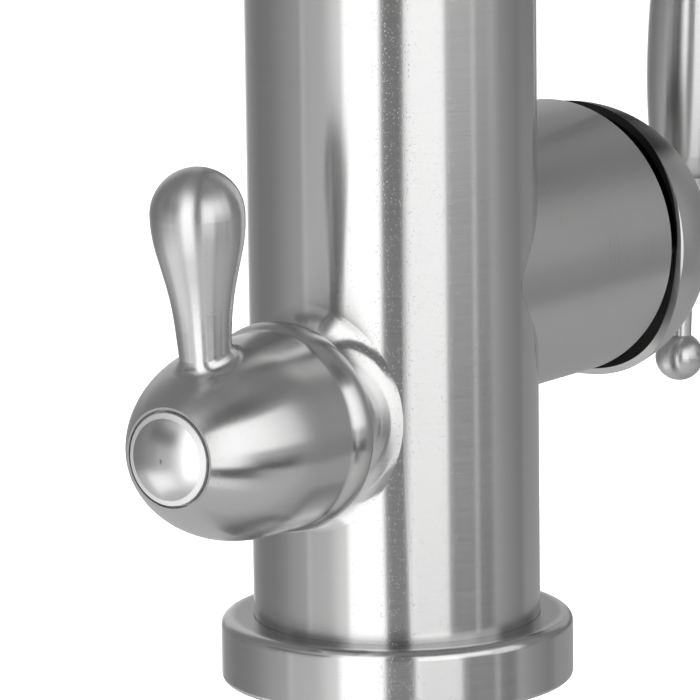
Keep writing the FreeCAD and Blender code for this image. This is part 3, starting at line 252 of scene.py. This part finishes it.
def newMaterial(name):
    material = bpy.data.materials.new(name)
    material.use_nodes = True
    tree = material.node_tree
    shader = tree.nodes["Principled BSDF"]
    where = add(tree, "ShaderNodeTexCoord").outputs["Object"]
    return material, tree, shader, where


def placeGroup(tree, group, **values):
    node = add(tree, "ShaderNodeGroup", node_tree=group)
    for label, value in values.items():
        put(tree, node.inputs[label], value)
    return node.outputs


def bumped(tree, shader, height, depth):
    node = add(tree, "ShaderNodeBump")
    node.inputs["Strength"].default_value = 1
    node.inputs["Distance"].default_value = depth
    put(tree, node.inputs["Height"], height)
    put(tree, shader.inputs["Normal"], node.outputs[0])


# satin steel: fine turning lines run round the piece's own axis, so reflections spread along that axis
satin = {
    "pale": (0.67, 0.67, 0.665),
    "dark": (0.60, 0.60, 0.60),
    "mark": (0.46, 0.46, 0.46),
    "across": 3600,  # lines to the metre, across them
    "along": 40,
    "depth": 0.0000022,  # of the lines
    "lineTone": 0.65,  # share of the lines in the tone, clouds make up the rest
    "cloud": (60, 3, 0.55),  # scale, detail and roughness
    "marks": 0.8,  # share of cells with a pit
    "markScale": 2500,
    "markDull": 0.25,
    "pitDepth": 0.0000095,
}
# rough is the gloss range, and spread how much more it blurs along the axis than round it
columnSatin = satin | {"rough": (0.17, 0.23), "spread": 0.9}
stubSatin = satin | {"rough": (0.24, 0.34), "spread": 0.85}
leverSatin = satin | {"rough": (0.27, 0.34), "spread": 0.8}
bellSatin = satin | {
    "rough": (0.20, 0.27),
    "spread": 0.82,
    "leverFrom": 0.0592,  # height where the lever's own lines begin
    "leverBlend": 0.012,
    "leverRough": 0.07,  # added to the gloss range up the lever
}
# the darker colour is painted shade on what lies within a distance of a centre or axis, easing between the
# two numbers
ringSatin = columnSatin | {"paintedShade": (0.36, 0.36, 0.36), "within": (0.0250, 0.0264)}  # painted shade at the column's foot, where the ring meets it
domeSatin = stubSatin | {"paintedShade": (0.05, 0.05, 0.05), "within": (0.0219, 0.0221)}  # painted shade inside the dome, seen in the gap behind its rim
domeCentre = (0.0504, 0, 0.0633)
neckBend = {"y": -0.095, "z": 0.262, "radius": 0.095}

columnAxis = {"way": "z", "through": (0, 0, 0)}
stubAxis = {"way": "x", "through": (0, 0, 0.0633)}
hubAxis = {"way": "x", "through": (0, 0, 0.0446)}
leverAxis = {"way": "z", "through": (-0.0486, 0, 0)}
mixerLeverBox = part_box("mixer_lever")
mixerLeverAxis = {"way": "z", "through": ((mixerLeverBox[0][0] + mixerLeverBox[1][0]) / 2, 0, 0)}
wayOf = {"x": (1, 0, 0), "z": (0, 0, 1)}
roundAxis, alongTube = 0.25, 0  # turns of the gloss, for a tangent round the axis or along the tube


def lineVector(tree, where, axis, look):
    scale = [look["along"]] * 3
    scale["xyz".index(axis["way"])] = look["across"]
    return mapped(tree, where, scale)


def roundVector(tree, where, axis):  # runs round the axis at every point
    cross = add(tree, "ShaderNodeVectorMath", operation="CROSS_PRODUCT")
    cross.inputs[0].default_value = wayOf[axis["way"]]
    put(tree, cross.inputs[1], centred(tree, where, axis["through"]))
    return cross.outputs[0]


def brushed(tree, shader, tangent, look, turn=roundAxis):  # the gloss is stretched across the lines
    world = add(tree, "ShaderNodeVectorTransform", vector_type="VECTOR")
    world.convert_from, world.convert_to = "OBJECT", "WORLD"
    put(tree, world.inputs[0], tangent)
    put(tree, shader.inputs["Tangent"], world.outputs[0])
    shader.inputs["Anisotropic"].default_value = look["spread"]
    shader.inputs["Anisotropic Rotation"].default_value = turn


def finishSatin(tree, shader, where, strokes, look, duller=None, paintedShadeMask=None):
    brush = placeGroup(tree, brushGroup, Strokes=strokes)
    marks = placeGroup(tree, markGroup, Vector=where, Scale=look["markScale"], Share=look["marks"])
    lines = maths(tree, "MULTIPLY", brush["Tone"], look["lineTone"])
    clouds = maths(tree, "MULTIPLY", noise(tree, where, *look["cloud"]), 1 - look["lineTone"])
    tone = maths(tree, "ADD", lines, clouds)
    colour = blendColour(tree, tone, look["dark"], look["pale"])
    dull = maths(tree, "MULTIPLY", marks["Mask"], look["markDull"])
    colour = blendColour(tree, dull, colour, look["mark"])
    # the darker colour blended in here is painted shade: at the column's foot on the ring, and inside the
    # dome
    if paintedShadeMask is not None:
        colour = blendColour(tree, paintedShadeMask, colour, look["paintedShade"])
    put(tree, shader.inputs["Base Color"], colour)
    shader.inputs["Metallic"].default_value = 1
    rough = spread(tree, tone, *look["rough"])
    if duller is not None:
        rough = maths(tree, "ADD", rough, duller)
    put(tree, shader.inputs["Roughness"], rough)
    pits = maths(tree, "MULTIPLY", marks["Mask"], -look["pitDepth"] / look["depth"])
    bumped(tree, shader, maths(tree, "ADD", brush["Height"], pits), look["depth"])


def makeSatin(name, axis, look, centre=None, keep=(1, 1, 1)):  # a centre gives it a part darkened by painted shade
    material, tree, shader, where = newMaterial(name)
    paintedShadeMask = None
    if centre is not None:
        paintedShadeMask = softStep(tree, awayFrom(tree, where, centre, keep), *look["within"], 1, 0)
    finishSatin(tree, shader, where, lineVector(tree, where, axis, look), look, paintedShadeMask=paintedShadeMask)
    brushed(tree, shader, roundVector(tree, where, axis), look)
    return material


# the filter handle: lines round the bell, and round the upright lever above it
def makeHandleSatin(name, look):
    material, tree, shader, where = newMaterial(name)
    height = splitVector(tree, where)[2]
    lever = maths(tree, "GREATER_THAN", height, look["leverFrom"])
    strokes = [lineVector(tree, where, axis, look) for axis in (hubAxis, leverAxis)]
    tangents = [roundVector(tree, where, axis) for axis in (hubAxis, leverAxis)]
    rise = softStep(tree, height, look["leverFrom"], look["leverFrom"] + look["leverBlend"])
    duller = maths(tree, "MULTIPLY", rise, look["leverRough"])
    finishSatin(tree, shader, where, pickVector(tree, lever, *strokes), look, duller=duller)
    brushed(tree, shader, pickVector(tree, lever, *tangents), look)
    return material


# the swan neck: the lines follow the bend of the tube
def makeNeckSatin(name, look, bend):
    material, tree, shader, where = newMaterial(name)
    x, y, z = splitVector(tree, where)
    outY = maths(tree, "SUBTRACT", y, bend["y"])
    upZ = maths(tree, "SUBTRACT", z, bend["z"])
    roundBend = maths(tree, "MULTIPLY", maths(tree, "ARCTAN2", upZ, outY), bend["radius"])
    above = maths(tree, "GREATER_THAN", upZ, 0)
    run = add(tree, "ShaderNodeMix", data_type="FLOAT")
    put(tree, run.inputs[0], above)
    put(tree, run.inputs[2], upZ)
    put(tree, run.inputs[3], roundBend)
    joined = add(tree, "ShaderNodeCombineXYZ")
    for socket, value in zip(joined.inputs, (x, y, run.outputs[0])):
        put(tree, socket, value)
    strokes = lineVector(tree, joined.outputs[0], columnAxis, look)
    finishSatin(tree, shader, where, strokes, look)
    bent = add(tree, "ShaderNodeCombineXYZ")  # along the tube, round the bend
    put(tree, bent.inputs[1], maths(tree, "MULTIPLY", upZ, -1))
    put(tree, bent.inputs[2], outY)
    brushed(tree, shader, pickVector(tree, above, wayOf["z"], bent.outputs[0]), look, alongTube)
    return material


# the filter handle's end cap: a spun dome inside a matt ring
indexCap = {
    "ringFrom": 0.00615,  # metres from the cap's axis
    "ringSoft": 0.00008,
    "dome": (0.70, 0.70, 0.70),
    "domeRough": 0.26,
    "ring": (0.93, 0.93, 0.93),
    "ringRough": 0.6,
    "marks": 0.2,
    "markScale": 1600,
    "pitDepth": 0.000004,
}


def makeCap(look):
    material, tree, shader, where = newMaterial("indexCap")
    away = awayFrom(tree, where, hubAxis["through"], keep=(0, 1, 1))
    edge = softStep(tree, away, look["ringFrom"] - look["ringSoft"], look["ringFrom"] + look["ringSoft"])
    put(tree, shader.inputs["Base Color"], blendColour(tree, edge, look["dome"], look["ring"]))
    shader.inputs["Metallic"].default_value = 1
    put(tree, shader.inputs["Roughness"], spread(tree, edge, look["domeRough"], look["ringRough"]))
    marks = placeGroup(tree, markGroup, Vector=where, Scale=look["markScale"], Share=look["marks"])
    bumped(tree, shader, maths(tree, "MULTIPLY", marks["Mask"], -1), look["pitDepth"])
    return material


# the other finishes: a colour range, a grain and a gloss range each
plainFinishes = {
    "plain_steel": {"pale": (0.47, 0.47, 0.48), "dark": (0.40, 0.40, 0.41), "metal": 1,
                    "rough": (0.32, 0.45), "grain": 1800, "depth": 0.000008},
    "brass": {"pale": (0.75, 0.58, 0.30), "dark": (0.66, 0.49, 0.23), "metal": 1,
              "rough": (0.26, 0.38), "grain": 1500, "depth": 0.000008},
    "copper_pipe": {"pale": (0.73, 0.43, 0.29), "dark": (0.60, 0.33, 0.21), "metal": 1,
                    "rough": (0.28, 0.42), "grain": 600, "depth": 0.000006},
    "black_rubber": {"pale": (0.035, 0.035, 0.035), "dark": (0.02, 0.02, 0.02), "metal": 0,
                     "rough": (0.6, 0.8), "grain": 900, "depth": 0.00002},
    "white_plastic": {"pale": (0.86, 0.86, 0.84), "dark": (0.80, 0.80, 0.78), "metal": 0,
                      "rough": (0.38, 0.5), "grain": 1100, "depth": 0.00001},
    "grey_plastic": {"pale": (0.40, 0.40, 0.41), "dark": (0.34, 0.34, 0.35), "metal": 0,
                     "rough": (0.4, 0.55), "grain": 1100, "depth": 0.00001},
    "ceramic": {"pale": (0.91, 0.90, 0.87), "dark": (0.86, 0.85, 0.82), "metal": 0,
                "rough": (0.12, 0.2), "grain": 1400, "depth": 0.000003},
}
plainNoise = {
    "grain": (4, 0.6),  # detail and roughness
    "cloud": (2, 0.5),
    "cloudWidth": 18,  # the colour clouds are this much wider than the grain
}


def makePlain(name, look):
    material, tree, shader, where = newMaterial(name)
    grain = noise(tree, where, look["grain"], *plainNoise["grain"])
    cloud = noise(tree, where, look["grain"] / plainNoise["cloudWidth"], *plainNoise["cloud"])
    put(tree, shader.inputs["Base Color"], blendColour(tree, cloud, look["dark"], look["pale"]))
    shader.inputs["Metallic"].default_value = look["metal"]
    put(tree, shader.inputs["Roughness"], spread(tree, grain, *look["rough"]))
    bumped(tree, shader, grain, look["depth"])
    return material


finishes = {slot: makePlain(slot, look) for slot, look in plainFinishes.items()}
finishes["polished_steel"] = makeCap(indexCap)
upright = makeSatin("satinUpright", columnAxis, columnSatin)
sideways = makeSatin("satinSideways", stubAxis, stubSatin)
satinOf = {
    "base_ring": makeSatin("satinRing", columnAxis, ringSatin, columnAxis["through"], keep=(1, 1, 0)),
    "filter_handle": makeHandleSatin("satinBellAndLever", bellSatin),
    "finial": sideways,
    "mixer_dome": makeSatin("satinDome", stubAxis, domeSatin, domeCentre),
    "mixer_lever": makeSatin("satinMixerLever", mixerLeverAxis, leverSatin),
    "mixer_stub": sideways,
    "spout_tube": makeNeckSatin("satinNeck", columnSatin, neckBend),
}
for part in frame["record"]["subparts"]:
    solid = nodes[part["node"]]
    finish = finishes.get(part["material_slot"]) or satinOf.get(part["node"], upright)
    solid.data.materials.clear()
    solid.data.materials.append(finish)


# studio: pale floor, soft lamps, and a tent of cards that only the metal sees
studio = {
    "white": (1, 1, 1),
    "worldFill": 0.35,  # strength of the world's light on things; where it is seen, it is 1
    "floorZ": cadBox[0].z - 0.0002,
    "floorSize": 12,
    "floorColour": (0.85, 0.85, 0.85),
    "floorGlow": 0.6,  # added where the camera looks, so that the floor is white
    "tentRadius": 5,
    "tentSegments": (64, 32),
    "tentEye": (-0.02, 0, 0.06),  # the cards are laid out as seen from here
    "lampAim": (0, 0, 0.12),
}


def lightPath(tree):  # 1 where the camera or a reflection looks
    path = add(tree, "ShaderNodeLightPath")
    seen = maths(tree, "MAXIMUM", path.outputs["Is Camera Ray"], path.outputs["Is Glossy Ray"])
    return maths(tree, "MAXIMUM", seen, path.outputs["Is Transmission Ray"])


def makeWorld():
    world = bpy.data.worlds.new("studioWorld")
    bpy.context.scene.world = world
    world.use_nodes = True
    tree = world.node_tree
    back = tree.nodes["Background"]
    back.inputs["Color"].default_value = (*studio["white"], 1)
    put(tree, back.inputs["Strength"], spread(tree, lightPath(tree), studio["worldFill"], 1))


def makeStagePiece(name, finishName, shape):  # an object from a finished bmesh, with an empty material
    mesh = bpy.data.meshes.new(name)
    shape.to_mesh(mesh)
    shape.free()
    piece = bpy.data.objects.new(name, mesh)
    bpy.context.scene.collection.objects.link(piece)
    material = bpy.data.materials.new(finishName)
    material.use_nodes = True
    tree = material.node_tree
    tree.nodes.remove(tree.nodes["Principled BSDF"])
    mesh.materials.append(material)
    return piece, tree, tree.nodes["Material Output"].inputs[0]


def makeFloor():
    bm = bmesh.new()
    bmesh.ops.create_grid(bm, x_segments=1, y_segments=1, size=studio["floorSize"] / 2)
    bmesh.ops.translate(bm, verts=bm.verts, vec=(0, 0, studio["floorZ"]))
    floor, tree, surface = makeStagePiece("floor", "paleFloor", bm)
    matt = add(tree, "ShaderNodeBsdfDiffuse")
    matt.inputs["Color"].default_value = (*studio["floorColour"], 1)
    glow = add(tree, "ShaderNodeEmission")
    put(tree, glow.inputs["Strength"], maths(tree, "MULTIPLY", lightPath(tree), studio["floorGlow"]))
    both = add(tree, "ShaderNodeAddShader")
    put(tree, both.inputs[0], matt.outputs[0])
    put(tree, both.inputs[1], glow.outputs[0])
    put(tree, surface, both.outputs[0])
    floor.visible_glossy = False  # the tent has its own floor card


# the tent's walls, as a shade at each angle round from the camera, positive to the right, in degrees
walls = [
    (-180, 1.3), (-172, 0.9), (-159, 0.36), (-132, 0.24), (-112, 0.26), (-90, 0.37),
    (-77, 0.41), (-75, 0.68), (-73.5, 0.68), (-72, 0.54), (-50, 0.60), (46, 0.44),
    (92, 0.40), (119, 0.25), (150, 0.17), (168, 0.26), (176, 0.9), (180, 1.3),
]
# the cards on them, by angles round and up, with softness at the sides and ends; later ones lie on top
cards = {
    "top": {"round": (-400, 400), "up": (39, 400), "shade": 0.25, "soft": (1, 8)},
    "topLeft": {"round": (-66, -8), "up": (30, 60), "shade": 0.70, "soft": (22, 12)},
    "topDark": {"round": (0, 62), "up": (42, 60), "shade": 0.13, "soft": (10, 5)},
    "floor": {"round": (-400, 400), "up": (-400, -21), "shade": 0.60, "soft": (1, 3)},
    "floorRight": {"round": (98, 400), "up": (-400, -21), "shade": 0.44, "soft": (20, 3)},
    "floorGlow": {"round": (-58, 45), "up": (-46, -21), "shade": 0.95, "soft": (16, 5)},
    "leftFloor": {"round": (-104, -56), "up": (-44, -24), "shade": 1.35, "soft": (16, 6)},
    "leftHalo": {"round": (-50, -30), "up": (-42, 52), "shade": 0.95, "soft": (14, 10)},
    "leftBox": {"round": (-38.5, -8.2), "up": (-36, 45), "shade": 1.75, "soft": (3, 14)},
    "gap": {"round": (-8, 10.7), "up": (-24, 38), "shade": 0.22, "soft": (1.5, 4)},
    "rightBox": {"round": (11.2, 42.3), "up": (-21, 37), "shade": 1.62, "soft": (1.5, 3)},
    "wing": {"round": (42.3, 68), "up": (-1.5, 36), "shade": 1.42, "soft": (1, 2.5)},
    "wingMid": {"round": (66, 92), "up": (-1.5, 35), "shade": 1.05, "soft": (12, 4)},
    "wingFar": {"round": (90, 107), "up": (-1.5, 34), "shade": 0.28, "soft": (12, 6)},
    "leftDark": {"round": (-96, -46), "up": (9, 28), "shade": 0.18, "soft": (8, 8)},
    "backLeft": {"round": (-400, -150), "up": (5, 34), "shade": 0.62, "soft": (12, 6)},
    "backRight": {"round": (140, 400), "up": (5, 32), "shade": 0.45, "soft": (16, 6)},
    "rightLow": {"round": (122, 172), "up": (-21, -7), "shade": 0.38, "soft": (12, 6)},
    "underBox": {"round": (14, 52), "up": (-32, -17.5), "shade": 0.04, "soft": (6, 3)},
    "underWing": {"round": (47, 84), "up": (-21.5, -10.5), "shade": 0.07, "soft": (6, 2.5)},
    "slit": {"round": (65.5, 70), "up": (-15, -4), "shade": 0.72, "soft": (1, 1)},
}


def between(tree, value, low, high, soft):  # 1 from low to high, with soft edges
    rise = softStep(tree, value, low - soft / 2, low + soft / 2)
    fall = softStep(tree, value, high - soft / 2, high + soft / 2, 1, 0)
    return maths(tree, "MULTIPLY", rise, fall)


def makeTent():
    bm = bmesh.new()
    uSegments, vSegments = studio["tentSegments"]
    bmesh.ops.create_uvsphere(bm, u_segments=uSegments, v_segments=vSegments, radius=studio["tentRadius"])
    tent, tree, surface = makeStagePiece("cardTent", "cards", bm)
    tent.visible_camera = tent.visible_diffuse = tent.visible_shadow = False
    tent.visible_transmission = tent.visible_volume_scatter = False
    seen = centred(tree, add(tree, "ShaderNodeTexCoord").outputs["Object"], studio["tentEye"])
    turned = mapped(tree, seen, turn=(0, 0, math.radians(90 - photoCamera["azimuth"])))
    around = add(tree, "ShaderNodeTexGradient", gradient_type="RADIAL")
    put(tree, around.inputs[0], turned)
    angle = maths(tree, "MULTIPLY_ADD", around.outputs["Fac"], 360, -180)
    unit = add(tree, "ShaderNodeVectorMath", operation="NORMALIZE")
    put(tree, unit.inputs[0], seen)
    height = maths(tree, "DEGREES", maths(tree, "ARCSINE", splitVector(tree, unit.outputs[0])[2]))
    shade = shadeRamp(tree, around.outputs["Fac"], [(0.5 + at / 360, tone) for at, tone in walls])
    for card in cards.values():
        softSide, softEnd = card["soft"]
        across = between(tree, angle, *card["round"], softSide)
        upward = between(tree, height, *card["up"], softEnd)
        shade = blendColour(tree, maths(tree, "MULTIPLY", across, upward), shade, (card["shade"],) * 3)
    glow = add(tree, "ShaderNodeEmission")
    put(tree, glow.inputs["Color"], shade)
    put(tree, surface, glow.outputs[0])


# soft lamps, at angles round from the camera and up, metres away
lamps = {
    "leftBox": {"around": -30, "up": 35, "away": 1.3, "size": 0.7, "power": 16},
    "rightBox": {"around": 35, "up": 30, "away": 1.3, "size": 0.7, "power": 14},
    "topFill": {"around": 170, "up": 70, "away": 1.4, "size": 1.0, "power": 10},
}


def makeLamps():
    for name, lamp in lamps.items():
        way = towards(photoCamera["azimuth"] + lamp["around"], lamp["up"])
        data = bpy.data.lights.new(name, "AREA")
        data.size = lamp["size"]
        data.energy = lamp["power"]
        light = bpy.data.objects.new(name, data)
        light.location = Vector(studio["lampAim"]) + way * lamp["away"]
        light.rotation_euler = way.to_track_quat("Z", "Y").to_euler()
        light.visible_camera = light.visible_glossy = False  # the tent gives the reflections
        bpy.context.scene.collection.objects.link(light)


makeWorld()
makeFloor()
makeTent()
makeLamps()
bpy.context.scene.view_settings.view_transform = "Standard"
print("studio set")
